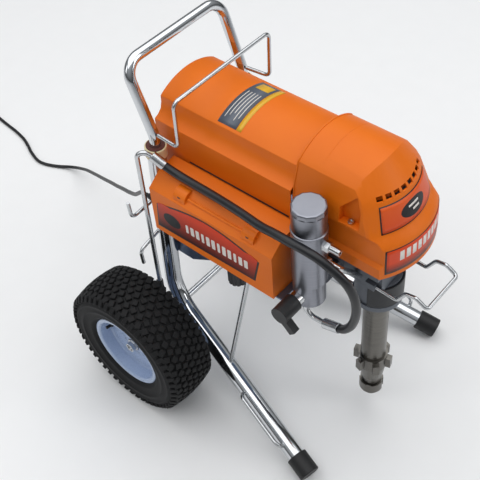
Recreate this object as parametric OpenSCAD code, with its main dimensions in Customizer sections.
// Airless paint sprayer on a two-wheeled cart.
// +X points forward to the pump, +Z up, -Y is the side with the control box.
// Heights are above the floor. Lengths along X are taken from the wheel axle,
// and from_axle() moves the whole machine so that its box is centred on the origin.

/* [Wheels] */
// Outer diameter of the turf tyre
tyre_d = 330; // [320:1:340]
// Width of the tyre
tyre_w = 124; // [116:1:128]
// Distance from the middle of the machine to the middle of each tyre
wheel_y = 272; // [270:1:280]
// Diameter of the rim's flange
rim_d = 180; // [176:1:184]
// Diameter of the axle rod
axle_d = 16; // [14:1:18]
// Radial running clearance of every turning or sliding fit
fit_gap = 0.05; // [0.02:0.01:0.1]

/* [Cart frame] */
// Diameter of the upright and leg tube
tube_d = 38; // [36:1:40]
// Wall thickness of the upright tube
tube_wall = 2; // [1.5:0.5:3]
// Distance from the middle to each upright
upright_y = 130; // [128:1:132]
// Height of the top of the uprights
upright_top = 600; // [590:1:610]
// Length of each leg, from the bend's corner to the end of its cap
leg_len = 510; // [500:1:520]
// Slope of the legs below the horizontal, in degrees
leg_slope = 16.5; // [16:0.5:17]
// Splay of the legs away from the middle, in degrees
leg_splay = 13.4; // [13:0.1:14]
// Radius of the bend between upright and leg
leg_bend = 90; // [85:1:95]
// Diameter of the rubber foot caps
cap_d = 46; // [44:1:48]

/* [Handle and rack] */
// Diameter of the handle tube
handle_d = 22; // [20:1:24]
// Height of the handle's top bar, pushed right down
handle_top = 793; // [785:1:800]
// How far the handle leans back above its kink
handle_lean = 50; // [45:1:55]
// Diameter of the hose rack wire
rack_wire = 8; // [7:1:9]
// Height of the hose rack's top bar
rack_top = 763; // [755:1:770]

/* [Covers] */
// Rear end of the motor cover
cover_rear = -36; // [-38:1:-34]
// Joint between the motor cover and the front cover
cover_joint = 298; // [296:1:300]
// Height of the covers' lower edge
cover_low = 546; // [544:1:550]
// Wall thickness of the moulded covers
cover_wall = 3; // [2.5:0.5:4]

/* [Control box] */
// Rear end of the control box
box_rear = 9; // [8:1:11]
// Length of the control box
box_len = 307; // [300:1:309]
// Height of the control box's floor
box_low = 448; // [446:1:450]
// Outer face of the control box, from the middle
box_y = 180; // [178:1:184]

/* [Drive and pump] */
// Distance from the axle to the pump's centre line
pump_x = 429; // [427:1:431]
// Diameter of the pump cylinder
pump_d = 53; // [52:0.5:54]
// Diameter of the displacement rod
rod_d = 20; // [18:1:22]
// Crank throw, half of the pump's stroke
crank_throw = 30; // [26:1:30]
// Height of the motor's shaft
motor_z = 620; // [618:1:622]
// Module of the reduction gears
gear_module = 2; // [2:0.1:2]
// Teeth on the motor pinion
pinion_teeth = 12; // [12:1:12]
// Teeth on the reduction gear
gear_teeth = 48; // [48:1:48]

/* [Manifold] */
// Distance from the axle to the filter's centre line
manifold_x = 365; // [363:1:366]
// Filter's centre line, from the middle
manifold_y = 132; // [131:1:134]
// Diameter of the filter body
manifold_d = 66; // [64:1:68]
// Diameter of the drain hose
hose_d = 17; // [16:0.5:18]

/* [Power cord] */
// Diameter of the power cord
cord_d = 9; // [8:0.5:9]
// Outer diameter of the stored coil
coil_d = 124; // [120:1:128]

/* [Hidden] */
$fn = 48;

near = -1;
far = 1;
eps = 0.01;
hanger_front = 566;
hanger_wire = 8;
box_front_x = hanger_front + hanger_wire / 2;
mid_x = (box_front_x - tyre_d / 2) / 2;

wheel_r = tyre_d / 2;
rim_r = rim_d / 2;
axle_r = axle_d / 2;
tube_r = tube_d / 2;
cap_r = cap_d / 2;
hub_r = 16;
hub_out = 24;
hub_in = 45;

// The upright leans forward a little, so the handle slides along the same line.
corner_z = cap_r * cos(leg_slope) + leg_len * sin(leg_slope);
upright_lean = 0.0407;
corner_x = -29.2;
function upright_at(z) = corner_x + (z - corner_z) * upright_lean;
function leg_at(s, side) = [
    corner_x + s * cos(leg_slope) * cos(leg_splay),
    side * (upright_y + s * cos(leg_slope) * sin(leg_splay)),
    corner_z - s * sin(leg_slope)];

handle_r = handle_d / 2;
handle_bottom = 250;
handle_kink = 650;
collar_h = 24;
collar_r = 22;

gear_z = motor_z - gear_module * (gear_teeth + pinion_teeth) / 2;
pin_z = gear_z - crank_throw;
shaft_r = 8;
crank_r = 12;
pump_r = pump_d / 2;
bore_r = 18;
rod_r = rod_d / 2;

body_r = manifold_d / 2;
valve_x = manifold_x - 4;
valve_z = 470;
near_y = -manifold_y;
valve_face = near_y - body_r + 4;
body_low = 450;
body_top = 632;
hose_r = hose_d / 2;
cord_r = cord_d / 2;

// Route of the drain hose, from the manifold's drain over the control box to the rear.
hose_route = [[432, -136, 407], [450, -138, 420], [468, -142, 452], [480, -148, 500],
    [480, -154, 545], [468, -161, 582], [448, -168, 606], [420, -174, 625], [390, -177, 632],
    [355, -177, 631], [318, -174, 626], [284, -170, 619], [228, -160, 611], [155, -150, 601],
    [80, -146, 597], [44, -149, 604], [20, -155, 618]];

// Route of the power cord, from the gland down to the floor and back behind the machine.
cord_route = [[-17.2, -160, 505], [-34, -159.5, 501.5], [-58, -149, 484], [-90, -133, 449.5],
    [-122.5, -117.4, 415], [-180, -90, 367], [-238, -62.5, 322], [-292, -37.5, 280],
    [-345, -12.7, 240], [-400, 12, 199], [-455, 35.4, 160], [-529, 66.9, 108],
    [-598.6, 93.4, 62], [-640, 104, 37], [-672, 108, 20], [-700.6, 104.1, 10],
    [-727.2, 92.5, 5.5], [-751, 81.5, 4.5], [-775, 73, 4.5], [-803, 71, 4.5],
    [-843.7, 82.3, 4.5], [-880, 98, 4.5], [-915, 110, 4.5], [-960, 118, 4.5],
    [-1010, 123, 4.5], [-1060, 129.5, 4.5], [-1100, 139.5, 4.5], [-1140, 147, 4.5]];
coil_at = [-1150, 93.5];

function unit(v) = v / norm(v);

// A point of the smooth curve through a route, t from 0 to 1 between points i and i + 1.
function smooth_at(r, i, t) =
    let (a = r[max(i - 1, 0)], b = r[i], c = r[i + 1], d = r[min(i + 2, len(r) - 1)])
    0.5 * (2 * b + (c - a) * t + (2 * a - 5 * b + 4 * c - d) * t * t
        + (3 * b - a - 3 * c + d) * t * t * t);

function smooth_route(r, steps) = concat(
    [for (i = [0 : len(r) - 2]) for (k = [0 : steps - 1]) smooth_at(r, i, k / steps)],
    [r[len(r) - 1]]);

function route_dir(p, i) = unit(p[min(i + 1, len(p) - 1)] - p[max(i - 1, 0)]);

// One closed tube swept along a list of points.
module swept_tube(points, radius, sides, across = [0, 0.3, 1]) {
    rings = len(points);
    ring_points = [for (i = [0 : rings - 1])
        let (d = route_dir(points, i), u = unit(cross(across, d)), w = cross(d, u))
        for (k = [0 : sides - 1])
            let (a = 360 * k / sides)
            points[i] + radius * (cos(a) * u + sin(a) * w)];
    walls = [for (i = [0 : rings - 2]) for (k = [0 : sides - 1])
        [i * sides + k, (i + 1) * sides + k, (i + 1) * sides + (k + 1) % sides,
            i * sides + (k + 1) % sides]];
    first_end = [for (k = [0 : sides - 1]) k];
    last_end = [for (k = [sides - 1 : -1 : 0]) (rings - 1) * sides + k];
    polyhedron(points = ring_points, faces = concat(walls, [first_end, last_end]));
}

// The arc that rounds the corner b on the way from a to c.
function corner_arc(a, b, c, bend) =
    let (d = unit(b - a), e = unit(c - b), angle = acos(d * e), n = unit(e - d * cos(angle)),
        centre = b - d * bend * tan(angle / 2) + n * bend, steps = max(3, ceil(angle / 15)))
    [for (k = [0 : steps]) centre + bend * (sin(angle * k / steps) * d
        - cos(angle * k / steps) * n)];

function bent_path(p, bend) = concat([p[0]],
    [for (i = [1 : len(p) - 2]) for (q = corner_arc(p[i - 1], p[i], p[i + 1], bend)) q],
    [p[len(p) - 1]]);

// A rod bent through a list of corners. The vector across is never along the rod.
module bent_rod(p, r, bend, across, sides = 12) {
    swept_tube(bent_path(p, bend), r, sides, across);
}

module from_axle() {
    translate([-mid_x, 0, 0]) children();
}

// A straight round rod from one point to another.
module rod_between(a, b, r) {
    d = b - a;
    turn = atan2(d[1], d[0]);
    tip = acos(d[2] / norm(d));
    translate(a) rotate([0, tip, turn]) cylinder(h = norm(d), r = r);
}

// A cylinder along X or Y, from one place to another.
module along_x(x0, x1, r, y, z) {
    translate([x0, y, z]) rotate([0, 90, 0]) cylinder(h = x1 - x0, r = r);
}

module along_y(y0, y1, r, x, z) {
    translate([x, y1, z]) rotate([90, 0, 0]) cylinder(h = y1 - y0, r = r);
}

module hex_x(x0, x1, r, y, z) {
    translate([x0, y, z]) rotate([0, 90, 0]) cylinder(h = x1 - x0, r = r, $fn = 6);
}

// ---- Cart frame ----

function frame_path(side) = [
    [upright_at(upright_top), side * upright_y, upright_top],
    [corner_x, side * upright_y, corner_z],
    leg_at(leg_len - 10, side)];

module frame_tube(side) {
    color("gainsboro") from_axle() difference() {
        bent_rod(frame_path(side), tube_r, leg_bend, [0, 1, 0], 24);
        rod_between([upright_at(244), side * upright_y, 244],
            [upright_at(upright_top + 1), side * upright_y, upright_top + 1],
            tube_r - tube_wall);
        rod_between(leg_at(110, side), leg_at(leg_len, side), tube_r - tube_wall);
        along_y(min(side * 100, side * 170), max(side * 100, side * 170), axle_r, 0, wheel_r);
    }
}

module frame_tube_near() {
    frame_tube(near);
}

module frame_tube_far() {
    frame_tube(far);
}

// Folded sheet deck between the uprights, with a gusset down to each leg.
module platform() {
    deck_t = 4;
    color("lightsteelblue") from_axle() {
        difference() {
            translate([10, -172, box_low - deck_t]) cube([320, 288, deck_t]);
            translate([203, -155, box_low - 10]) cylinder(h = 20, r = 24);
        }
        for (side = [near, far])
            translate([0, side * 112 + 2, 0]) rotate([90, 0, 0]) linear_extrude(4)
                polygon([[10, box_low - deck_t + eps], [120, box_low - deck_t + eps],
                    [96, 345], [30, 305], [-22, 305], [-22, 385]]);
    }
}

module axle() {
    spacer_r = 12;
    spacer_end = wheel_y - hub_in - 0.5;
    color("silver") from_axle() {
        along_y(-306, 306, axle_r, 0, wheel_r);
        along_y(-spacer_end, -158, spacer_r, 0, wheel_r);
        along_y(158, spacer_end, spacer_r, 0, wheel_r);
    }
}

module axle_nuts() {
    nut_in = wheel_y + hub_out + 0.5;
    color("silver") from_axle() for (side = [near, far])
        translate([0, side * (nut_in + 6), wheel_r]) rotate([90, 0, 0]) difference() {
            union() {
                cylinder(h = 12, r = 12.5, center = true, $fn = 6);
                translate([0, 0, side * 5]) cylinder(h = 2, r = 15, center = true);
            }
            cylinder(h = 13, r = axle_r, center = true);
        }
}

module foot_caps() {
    sleeve = 48;
    color([0.12, 0.12, 0.12]) from_axle() for (side = [near, far]) difference() {
        rod_between(leg_at(leg_len - sleeve, side), leg_at(leg_len, side), cap_r);
        rod_between(leg_at(leg_len - sleeve - 1, side), leg_at(leg_len - 10, side), tube_r);
    }
}

// Nylon guide bush in the top of each upright.
module handle_collars() {
    low = upright_top - 40;
    color("wheat") from_axle() for (side = [near, far]) difference() {
        union() {
            rod_between([upright_at(upright_top), side * upright_y, upright_top],
                [upright_at(upright_top + collar_h), side * upright_y, upright_top + collar_h],
                collar_r);
            rod_between([upright_at(low), side * upright_y, low],
                [upright_at(upright_top + 1), side * upright_y, upright_top + 1],
                tube_r - tube_wall);
        }
        rod_between([upright_at(low - 1), side * upright_y, low - 1],
            [upright_at(upright_top + 30), side * upright_y, upright_top + 30],
            handle_r + fit_gap);
    }
}

// Bent rod loop welded on the outside of each leg.
module leg_hoops() {
    hoop_r = 4.5;
    out = [0, 0.8, 0.6];
    color("silver") from_axle() for (side = [near, far]) {
        reach = [out[0], side * out[1], out[2]];
        a = leg_at(290, side);
        b = leg_at(430, side);
        bent_rod([a + reach * (tube_r - 1), a + reach * 36, b + reach * 36,
            b + reach * (tube_r - 1)], hoop_r, 16, cross(reach, b - a));
    }
}

// Thin stay rods from each leg up to the deck.
module brace_rods() {
    color("silver") from_axle() {
        rod_between([176, -176, 121], [242, -166, box_low - 4], 5);
        rod_between([176, 176, 121], [242, 94, box_low - 4], 5);
    }
}

// Two hooks for the wound-up power cord, welded to the near upright.
module cord_hooks() {
    hook_r = 4;
    hook_x = -31;
    color("silver") from_axle() {
        bent_rod([[hook_x, -142, 475], [hook_x, -206, 471], [hook_x, -208, 516]],
            hook_r, 14, [1, 0, 0]);
        bent_rod([[hook_x, -142, 384], [hook_x, -202, 369], [hook_x, -200, 330]],
            hook_r, 14, [1, 0, 0]);
    }
}

// ---- Wheels ----

module wheel_place(side) {
    from_axle() translate([0, side * wheel_y, wheel_r]) rotate([-90 * side, 0, 0]) children();
}

// Turned sections are drawn with the radius across and the outward side up.
module tyre(side) {
    w = tyre_w / 2;
    color([0.11, 0.11, 0.11]) wheel_place(side) rotate_extrude($fn = 96) polygon([
        [81, 38], [88, 45], [100, w - 6], [122, w], [144, w - 1], [157, w - 7], [163, w - 22],
        [wheel_r, 0], [163, 22 - w], [157, 7 - w], [144, 1 - w], [122, -w], [100, 6 - w],
        [88, -45], [81, -38], [92, -36], [106, -48], [124, -52], [146, -48], [154, 0],
        [146, 48], [124, 52], [106, 48], [92, 36]]);
}

module rim(side) {
    color("lightsteelblue") wheel_place(side) rotate_extrude($fn = 96) polygon([
        [rim_r, 49], [rim_r, 46.5], [81, 46], [80.5, -46], [rim_r, -46.5], [rim_r, -49],
        [78, -48], [77, 6], [68, 18], [40, 14], [26, 20], [hub_r, 20],
        [hub_r, 24], [28, 24], [41, 18], [70, 22], [77, 18], [78, 48]]);
}

module hub(side) {
    color([0.15, 0.15, 0.15]) wheel_place(side) difference() {
        translate([0, 0, -hub_in]) cylinder(h = hub_in + hub_out, r = hub_r);
        translate([0, 0, -hub_in - 1]) cylinder(h = hub_in + hub_out + 2, r = axle_r + fit_gap);
    }
}

module valve(side) {
    color([0.1, 0.1, 0.1]) wheel_place(side) rotate([0, 0, 150]) translate([62, 0, 18.6])
        rotate([0, 12, 0]) {
            cylinder(h = 14, r = 5);
            cylinder(h = 26, r = 3.6);
        }
}

module tyre_near() {
    tyre(near);
}

module rim_near() {
    rim(near);
}

module hub_near() {
    hub(near);
}

module valve_near() {
    valve(near);
}

module tyre_far() {
    tyre(far);
}

module rim_far() {
    rim(far);
}

module hub_far() {
    hub(far);
}

module valve_far() {
    valve(far);
}

// ---- Handle ----

module handle() {
    kink_x = upright_at(handle_kink);
    top_x = kink_x - handle_lean;
    foot = [upright_at(handle_bottom), upright_y, handle_bottom];
    kink = [kink_x, upright_y, handle_kink];
    color("gainsboro") from_axle() difference() {
        bent_rod([[foot[0], -foot[1], foot[2]], [kink[0], -kink[1], kink[2]],
            [top_x, -upright_y, handle_top], [top_x, upright_y, handle_top], kink, foot],
            handle_r, 36, [1, 0, 0.15], 24);
        for (side = [near, far])
            rod_between([foot[0] - upright_lean, side * foot[1], foot[2] - 1],
                [upright_at(620), side * upright_y, 620], handle_r - tube_wall);
    }
}

module hose_rack() {
    r = rack_wire / 2;
    eye = [upright_at(655) + 12, upright_y, 655];
    color("silver") from_axle() bent_rod([
        [eye[0], -eye[1], eye[2]], [60, -134, 657], [63, -134, rack_top],
        [63, 134, rack_top], [60, 134, 657], eye], r, 14, [1, 0.9, 1.1]);
}

// ---- Covers ----

// Half of the motor cover's section: a low vault, a cove and a straight side.
function vault(w, edge, rise) = let (r = (w * w + rise * rise) / (2 * rise), a = asin(w / r))
    [for (k = [-8 : 8]) [r * sin(a * k / 8), edge + r * cos(a * k / 8) - r * cos(a)]];

module motor_section(t) {
    side = [[100 - t, cover_low], [100 - t, 658 - t], [89 - t, 663 - t], [81 - t, 671 - t],
        [77 - t, 684 - t]];
    polygon(concat([for (q = side) [-q[0], q[1]]], vault(76 - t, 699 - t, 23),
        [for (k = [4 : -1 : 0]) side[k]]));
}

module section_along_x(x0, x1) {
    translate([x0, 0, 0]) rotate([90, 0, 90]) linear_extrude(x1 - x0) children();
}

module rear_cover() {
    inside = cover_rear + cover_wall;
    color("darkorange") from_axle() difference() {
        section_along_x(cover_rear, cover_joint) motor_section(0);
        section_along_x(inside, cover_joint + 1) motor_section(cover_wall);
        translate([cover_rear - 1, -101, cover_low - 1]) cube([400, 202, 1 + eps]);
        for (side = [near, far])
            translate([45, side * 100 - 1.8, 585]) cube([248, 3.6, 6]);
        for (k = [-3 : 3])
            translate([cover_rear - 1, k * 18 - 5, 600]) cube([6, 10, 70]);
    }
}

module front_section(t) {
    side = [[93 - t, cover_low], [93 - t, 570 - t], [86 - t, 577 - t], [87 - t, 626 + t],
        [95 - t, 636 + t], [91 - t, 668]];
    polygon(concat([for (q = side) [-q[0], q[1]]], vault(78 - t, 714 - t, 28),
        [for (k = [5 : -1 : 0]) side[k]]));
}

// Outline of the screw pocket, seen from the side.
pocket_outline = [[399, 641], [441, 641], [441, 676], [428, 703], [399, 672]];

module pocket_prism(outline_grow, y0, y1) {
    for (side = [near, far])
        translate([0, max(side * y0, side * y1), 0]) rotate([90, 0, 0])
            linear_extrude(y1 - y0) offset(delta = outline_grow) polygon(pocket_outline);
}

// The bowed and sloping nose is turned about a line inside the cover.
module nose_limit(t) {
    nose_x = 362;
    union() {
        translate([nose_x, 0, 0]) rotate_extrude($fn = 96) polygon([[0, cover_low - 2],
            [157 - t, cover_low - 2], [154 - t, 613], [146 - t, 624], [136 - t, 634],
            [119 - t, 683], [111 - t, 698], [70 - t, 744], [0, 752]]);
        translate([200, -120, cover_low - 2]) cube([nose_x - 200 + eps, 240, 220]);
    }
}

module front_cover() {
    nose_x = 362;
    color("darkorange") from_axle() {
        difference() {
            intersection() {
                section_along_x(cover_joint + 0.3, 530) front_section(0);
                nose_limit(0);
            }
            difference() {
                intersection() {
                    section_along_x(cover_joint - 1, 530) front_section(cover_wall);
                    nose_limit(cover_wall);
                }
                pocket_prism(cover_wall, 76, 112);
            }
            pocket_prism(0, 79, 112);
            for (k = [-3 : 4])
                translate([nose_x, 0, 693]) rotate([0, 0, (k - 0.5) * 9])
                    translate([95, -6, 0]) cube([30, 12, 9]);
        }
        intersection() {
            translate([nose_x, 0, 688]) difference() {
                cylinder(h = 17, r = 103);
                translate([0, 0, -1]) cylinder(h = 19, r = 100);
            }
            translate([nose_x, -77, 680]) cube([150, 154, 40]);
        }
    }
}

// One screw in the pocket on each side of the front cover.
module cover_screws() {
    color("silver") from_axle() for (side = [near, far])
        translate([419, side * 85, 640.8]) difference() {
            cylinder(h = 5, r = 6);
            translate([0, 0, 3]) cylinder(h = 3, r = 2.6, $fn = 6);
        }
}

// ---- Motor ----

module motor_can() {
    color("dimgray") from_axle() difference() {
        along_x(40, 297.5, 60, 0, motor_z);
        along_x(39, 285, 54, 0, motor_z);
        along_x(284, 299, shaft_r + fit_gap, 0, motor_z);
    }
}

module motor_end_cap() {
    color("gray") from_axle() difference() {
        union() {
            along_x(28, 40, 60, 0, motor_z);
            along_x(40, 46, 54, 0, motor_z);
        }
        along_x(27, 47, shaft_r + fit_gap, 0, motor_z);
        for (k = [0 : 7])
            translate([20, 0, motor_z]) rotate([k * 45, 0, 0]) translate([0, 0, 36])
                cube([30, 12, 12]);
    }
}

// Tooth outline of a straight gear, with plain sloping flanks.
module gear_outline(teeth, module_size) {
    pitch_r = teeth * module_size / 2;
    pitch = 360 / teeth;
    root = pitch_r - 1.25 * module_size;
    tip = pitch_r + 0.9 * module_size;
    polygon([for (k = [0 : teeth - 1]) for (q = [[-0.29, root], [-0.22, pitch_r],
        [-0.11, tip], [0.11, tip], [0.22, pitch_r], [0.29, root]])
        let (a = (k + q[0]) * pitch) [q[1] * cos(a), q[1] * sin(a)]]);
}

module gear_along_x(x0, width, teeth, turn, z) {
    translate([x0, 0, z]) rotate([0, 90, 0]) rotate([0, 0, turn])
        linear_extrude(width) gear_outline(teeth, gear_module);
}

// Armature, shaft and the pinion cut on its end.
module rotor() {
    color("darkgray") from_axle() {
        along_x(-4, 312, shaft_r, 0, motor_z);
        along_x(80, 240, 40, 0, motor_z);
        along_x(56, 72, 24, 0, motor_z);
        gear_along_x(312, 18, pinion_teeth, 0, motor_z);
    }
}

module cooling_fan() {
    blades = 9;
    color([0.2, 0.2, 0.2]) from_axle() {
        difference() {
            along_x(2, 22, 16, 0, motor_z);
            along_x(1, 23, shaft_r, 0, motor_z);
        }
        difference() {
            along_x(20, 22, 52, 0, motor_z);
            along_x(19, 23, 15, 0, motor_z);
        }
        for (k = [0 : blades - 1])
            translate([2, 0, motor_z]) rotate([k * 360 / blades, 0, 0])
                translate([0, -1, 15]) cube([19, 2, 35]);
    }
}

// ---- Drive ----

module drive_housing() {
    back = 298;
    front = 466;
    color("slategray") from_axle() difference() {
        union() {
            translate([back, -60, 490]) cube([front - back, 120, 178]);
            translate([back, -46, box_low]) cube([front - back, 92, 43]);
            translate([436, -57, 455]) cube([20, 114, 16]);
            translate([pump_x, 0, 388]) cylinder(h = 62, r = 46);
            translate([pump_x, 0, 378]) cylinder(h = 12, r = 50);
        }
        translate([back + 10, -52, 500]) cube([27, 104, 155]);
        translate([353, -52, 500]) cube([103, 104, 155]);
        translate([pump_x, 0, 392]) cylinder(h = 120, r = 30);
        translate([pump_x, 0, 377]) cylinder(h = 20, r = pump_r);
        along_x(back - 1, back + 12, shaft_r + fit_gap, 0, motor_z);
        along_x(334, 354, crank_r + fit_gap, 0, gear_z);
        for (side = [near, far])
            rod_between([438, side * 50, 463], [460, side * 50, 462], hanger_wire / 2);
    }
}

// Dark guard over the opening in front of the displacement rod.
module rod_guard() {
    color([0.16, 0.17, 0.19]) from_axle() difference() {
        translate([pump_x, 0, 392]) cylinder(h = 54, r = 51);
        translate([pump_x, 0, 391]) cylinder(h = 56, r = 46);
        translate([pump_x - 60, -60, 390]) cube([68, 120, 60]);
    }
}

// The tooth gap faces up to the pinion's lowest tooth.
module reduction_gear() {
    color("darkgray") from_axle() difference() {
        gear_along_x(313, 15, gear_teeth, 180 / gear_teeth, gear_z);
        along_x(312, 330, crank_r, 0, gear_z);
        for (k = [0 : 5])
            translate([312, 0, gear_z]) rotate([k * 60, 0, 0]) translate([0, 0, 29])
                rotate([0, 90, 0]) cylinder(h = 18, r = 8);
    }
}

module crank() {
    color("silver") from_axle() {
        along_x(311, 386, crank_r, 0, gear_z);
        along_x(385, 396, 40, 0, gear_z);
        along_x(395, 408, 9, 0, pin_z);
    }
}

module connecting_rod() {
    color("darkgray") from_axle() difference() {
        union() {
            along_x(416, 442, 17, 0, pin_z);
            translate([pump_x, 0, pin_z - 46]) cylinder(h = 34, r = 13);
        }
        along_x(415, 443, 9.1, 0, pin_z);
        translate([pump_x, 0, pin_z - 47]) cylinder(h = 25, r = rod_r);
    }
}

module displacement_rod() {
    color("gainsboro") from_axle()
        translate([pump_x, 0, 196]) cylinder(h = pin_z - 22 - 196, r = rod_r);
}

module pump_piston() {
    color("goldenrod") from_axle() difference() {
        translate([pump_x, 0, 190]) cylinder(h = 30, r = bore_r - fit_gap);
        translate([pump_x, 0, 196]) cylinder(h = 25, r = rod_r);
    }
}

module packing_nut() {
    color("goldenrod") from_axle() difference() {
        translate([pump_x, 0, 397]) cylinder(h = 18, r = 26, $fn = 6);
        translate([pump_x, 0, 396]) cylinder(h = 20, r = rod_r + fit_gap);
    }
}

module pump_cylinder() {
    color("silver") from_axle() difference() {
        translate([pump_x, 0, 160]) cylinder(h = 237, r = pump_r);
        translate([pump_x, 0, 159]) cylinder(h = 239, r = bore_r);
    }
}

// Ring nut with square lugs that joins the cylinder and the intake housing.
module lug_coupling() {
    color("silver") from_axle() difference() {
        union() {
            translate([pump_x, 0, 150]) cylinder(h = 34, r = 31);
            for (k = [0 : 5])
                translate([pump_x, 0, 152]) rotate([0, 0, k * 60 + 15])
                    translate([28, -7, 0]) cube([13, 14, 28]);
        }
        translate([pump_x, 0, 160]) cylinder(h = 26, r = pump_r);
        translate([pump_x, 0, 149]) cylinder(h = 12, r = 24);
    }
}

module intake_housing() {
    color("silver") from_axle() difference() {
        translate([pump_x, 0, 0]) rotate_extrude() polygon([[0, 50], [19, 50], [19, 88],
            [21, 90], [29.5, 149.5], [24, 149.5], [24, 160], [0, 160]]);
        translate([pump_x, 0, 49]) cylinder(h = 47, r = 13);
        translate([pump_x, 0, 90]) cylinder(h = 20, r = 9);
        translate([pump_x, 0, 102]) cylinder(h = 60, r = 16);
    }
}

module intake_ring() {
    color("silver") from_axle() difference() {
        translate([pump_x, 0, 62]) cylinder(h = 25.5, r = 26);
        translate([pump_x, 0, 61]) cylinder(h = 28, r = 19);
        for (k = [0 : 3])
            translate([pump_x, 0, 61]) rotate([0, 0, k * 90 + 20]) translate([24, -5, 0])
                cube([5, 10, 28]);
    }
}

module intake_ball() {
    color("silver") from_axle() translate([pump_x, 0, 108.6]) sphere(r = 11);
}

// Wire loop that carries the pail, its ends held in the sides of the drive housing.
module pail_hanger() {
    w = 50;
    color("silver") from_axle() bent_rod([[438, -w, 463], [502, -w, 459], [520, -w, 489],
        [541, -w, 493], [hanger_front, -w, 479], [hanger_front, w, 479], [541, w, 493],
        [520, w, 489], [502, w, 459], [438, w, 463]], hanger_wire / 2, 8, [0.2, 0.4, 1]);
}

// ---- Filter and fluid lines ----

module manifold() {
    lower_x = valve_x;
    color("silver") from_axle() difference() {
        union() {
            translate([manifold_x, near_y, 505]) cylinder(h = body_top - 505, r = body_r);
            translate([manifold_x - 1, near_y, body_low]) cylinder(h = 60, r = body_r - 2);
            translate([348, -112, 462]) cube([30, 66, 26]);
        }
        translate([manifold_x, near_y, 510]) cylinder(h = 130, r = 24);
        along_x(manifold_x + 20, manifold_x + 34, 5, near_y, 612);
        along_x(manifold_x + 20, manifold_x + 34, 5, near_y, 572);
        along_y(near_y - 34, near_y, 6, lower_x, 470);
        translate([lower_x - 8, near_y, body_low - 1]) cylinder(h = 62, r = 5.5);
    }
}

module filter_cap() {
    color("whitesmoke") from_axle() difference() {
        union() {
            translate([manifold_x, near_y, body_top]) cylinder(h = 5, r = body_r + 1);
            translate([manifold_x, near_y, body_top]) cylinder(h = 48, r = 32);
            translate([manifold_x, near_y, 679]) cylinder(h = 12, r = 32, $fn = 12);
        }
        translate([manifold_x, near_y, body_top - 1]) cylinder(h = 34, r = 24);
    }
}

module filter_element() {
    color("lightgray") from_axle() difference() {
        translate([manifold_x, near_y, 512]) cylinder(h = 140, r = 17);
        translate([manifold_x, near_y, 516]) cylinder(h = 132, r = 13);
        for (k = [0 : 7])
            translate([manifold_x, near_y, 525]) rotate([0, 0, k * 45])
                translate([10, -3, 0]) cube([10, 6, 110]);
    }
}

// High pressure tube from the drive side of the pump up to the manifold.
module transfer_tube() {
    color("silver") from_axle() {
        hex_x(manifold_x + body_r - 1, manifold_x + body_r + 12, 10, near_y, 572);
        bent_rod([[manifold_x + body_r + 10, near_y, 572], [428, near_y, 570],
            [416, -44, 462]], 6, 14, [0.3, 1, 0.5]);
    }
}

// Outlet with a quarter inch nipple for the spray hose.
module outlet_fitting() {
    color("silver") from_axle() difference() {
        union() {
            hex_x(manifold_x + body_r - 1, manifold_x + body_r + 13, 10.5, near_y, 612);
            along_x(manifold_x + body_r + 12, manifold_x + body_r + 34, 6.5, near_y, 612);
        }
        along_x(manifold_x + body_r - 2, manifold_x + body_r + 35, 3, near_y, 612);
    }
}

module prime_valve() {
    color("silver") from_axle() {
        along_y(valve_face - 14, valve_face + 2, 15, valve_x, valve_z);
        along_y(valve_face - 52, valve_face - 13, 5, valve_x, valve_z);
        along_y(valve_face + 1, near_y - 6, 6, valve_x, valve_z);
    }
}

module prime_lever() {
    color([0.1, 0.1, 0.1]) from_axle() difference() {
        union() {
            along_y(valve_face - 58, valve_face - 14.3, 18, valve_x, valve_z);
            translate([valve_x, valve_face - 58, valve_z]) rotate([0, 45, 0])
                translate([0, 0, -8]) cube([42, 15, 16]);
        }
        along_y(valve_face - 53, valve_face - 14, 5 + fit_gap, valve_x, valve_z);
    }
}

module drain_tube() {
    color("silver") from_axle() bent_rod([[valve_x - 8, near_y, 470], [valve_x - 8, near_y, 388],
        [408, -136, 399]], 5.5, 22, [0, 1, 0]);
}

// Crimped sleeves at the two ends of the drain hose.
module hose_crimps() {
    color("silver") from_axle() {
        difference() {
            rod_between([402, -135.9, 397.8], [437, -136.8, 410], 10.5);
            rod_between([400, -135.8, 397.1], [410, -136, 399.5], 5.5);
            rod_between([425, -136.2, 404], [440, -137, 412], hose_r);
        }
        difference() {
            rod_between([32, -151, 610], [8, -158, 627], 10.5);
            rod_between([40, -149, 604], [20, -155, 618.5], hose_r);
            rod_between([14, -156, 623], [2, -160, 631], 5);
        }
    }
}

module drain_hose() {
    color([0.13, 0.13, 0.14]) from_axle() swept_tube(smooth_route(hose_route, 3), hose_r, 12);
}

// Metal return tube hooked over beside the near upright, with a rubber tip.
module return_tube() {
    foot_z = 216;
    color("silver") from_axle() {
        bent_rod([[12, -157, 624], [-12, -178, 650], [-17, -178, 240]], 5, 12,
            [0.66, -0.75, 0]);
        translate([-17, -178, foot_z]) cylinder(h = 46, r = 7.5);
    }
}

// ---- Control box ----

module box_section(t) {
    polygon([[-box_y + t, box_low + t], [-box_y + t, 560 - t / 2], [-148 + t / 2, 584 - t],
        [-104 - t, 590 - t], [-104 - t, box_low + t]]);
}

module control_box() {
    color("darkorange") from_axle() difference() {
        union() {
            section_along_x(box_rear, box_rear + box_len) box_section(0);
            for (x = [70, 240])
                translate([x, 0, 0]) intersection() {
                    along_x(0, 30, 18, -158, 566);
                    translate([-1, -200, 560]) cube([32, 60, 40]);
                }
        }
        section_along_x(box_rear + 3, box_rear + box_len - 3) box_section(3);
        translate([box_rear - 1, -139, 527]) cube([5, 26, 16]);
        along_x(box_rear - 1, box_rear + 4, 7, -160, 505);
        translate([203, -155, box_low - 1]) cylinder(h = 5, r = 4 + fit_gap);
    }
}

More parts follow.
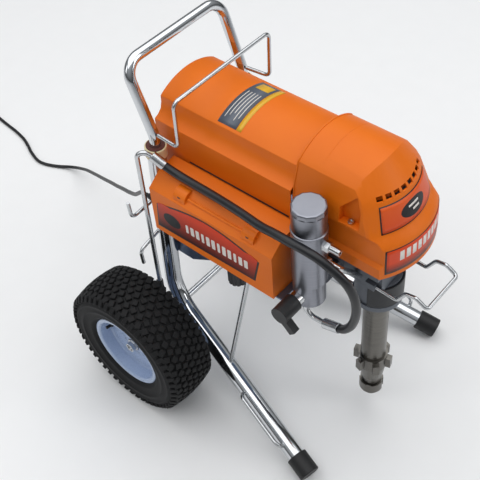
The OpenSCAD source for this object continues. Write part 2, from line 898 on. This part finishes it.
module circuit_board() {
    color("seagreen") from_axle() {
        translate([50, -172, 470]) cube([210, 2, 80]);
        for (k = [0 : 4])
            translate([65 + k * 38, -170, 480]) cube([22, 10, 18]);
    }
}

module pressure_knob() {
    color([0.1, 0.1, 0.1]) from_axle() {
        translate([203, -155, 402]) difference() {
            cylinder(h = 45.5, r = 20);
            for (k = [0 : 11])
                rotate([0, 0, k * 30]) translate([21.5, 0, -1]) cylinder(h = 34, r = 3);
        }
        translate([203, -155, 447]) cylinder(h = 12, r = 4);
    }
}

module power_switch() {
    color([0.1, 0.1, 0.1]) from_axle() translate([box_rear + 1, -138, 535]) {
        rotate([0, -6, 0]) translate([-4, 0.7, -6.6]) cube([5, 22.6, 13.2]);
    }
}

// ---- Power cord ----

module cord_gland() {
    color([0.1, 0.1, 0.1]) from_axle() translate([box_rear + 4, -160, 505]) rotate([0, -90, 0])
        difference() {
            union() {
                cylinder(h = 6, r = 7);
                translate([0, 0, 4]) cylinder(h = 8, r = 11);
                translate([0, 0, 12]) cylinder(h = 22, r1 = 9, r2 = 6);
            }
            translate([0, 0, 30]) cylinder(h = 5, r = cord_r);
        }
}

module power_cord() {
    color([0.09, 0.09, 0.09]) from_axle() swept_tube(smooth_route(cord_route, 3), cord_r, 8);
}

module cord_coil() {
    color([0.09, 0.09, 0.09]) from_axle() translate([coil_at[0], coil_at[1], 0])
        rotate_extrude($fn = 64) translate([coil_d / 2 - 3 * cord_d, 0])
            square([3 * cord_d, 2 * cord_d]);
}

// The plug lies beside the coil, where the last turn leaves it.
module plug() {
    mid_y = coil_at[1] - coil_d / 2 + cord_r;
    mid_z = 1.5 * cord_d;
    color([0.09, 0.09, 0.09]) from_axle() {
        translate([-1104, mid_y - 11, 0]) cube([42, 22, 2 * mid_z]);
        translate([-1104, mid_y, mid_z]) rotate([0, -90, 0]) cylinder(h = 26, r1 = 8, r2 = 6);
        for (k = [near, far])
            translate([-1063, mid_y + k * 7, mid_z]) rotate([0, 90, 0])
                cylinder(h = 20, r = 2.4);
    }
}

frame_tube_near();
frame_tube_far();
platform();
axle();
axle_nuts();
foot_caps();
handle_collars();
leg_hoops();
brace_rods();
cord_hooks();
tyre_near();
rim_near();
hub_near();
valve_near();
tyre_far();
rim_far();
hub_far();
valve_far();
handle();
hose_rack();
rear_cover();
front_cover();
cover_screws();
motor_can();
motor_end_cap();
rotor();
cooling_fan();
drive_housing();
rod_guard();
reduction_gear();
crank();
connecting_rod();
displacement_rod();
pump_piston();
packing_nut();
pump_cylinder();
lug_coupling();
intake_housing();
intake_ring();
intake_ball();
pail_hanger();
manifold();
filter_cap();
filter_element();
transfer_tube();
outlet_fitting();
prime_valve();
prime_lever();
drain_tube();
hose_crimps();
drain_hose();
return_tube();
control_box();
circuit_board();
pressure_knob();
power_switch();
cord_gland();
power_cord();
cord_coil();
plug();
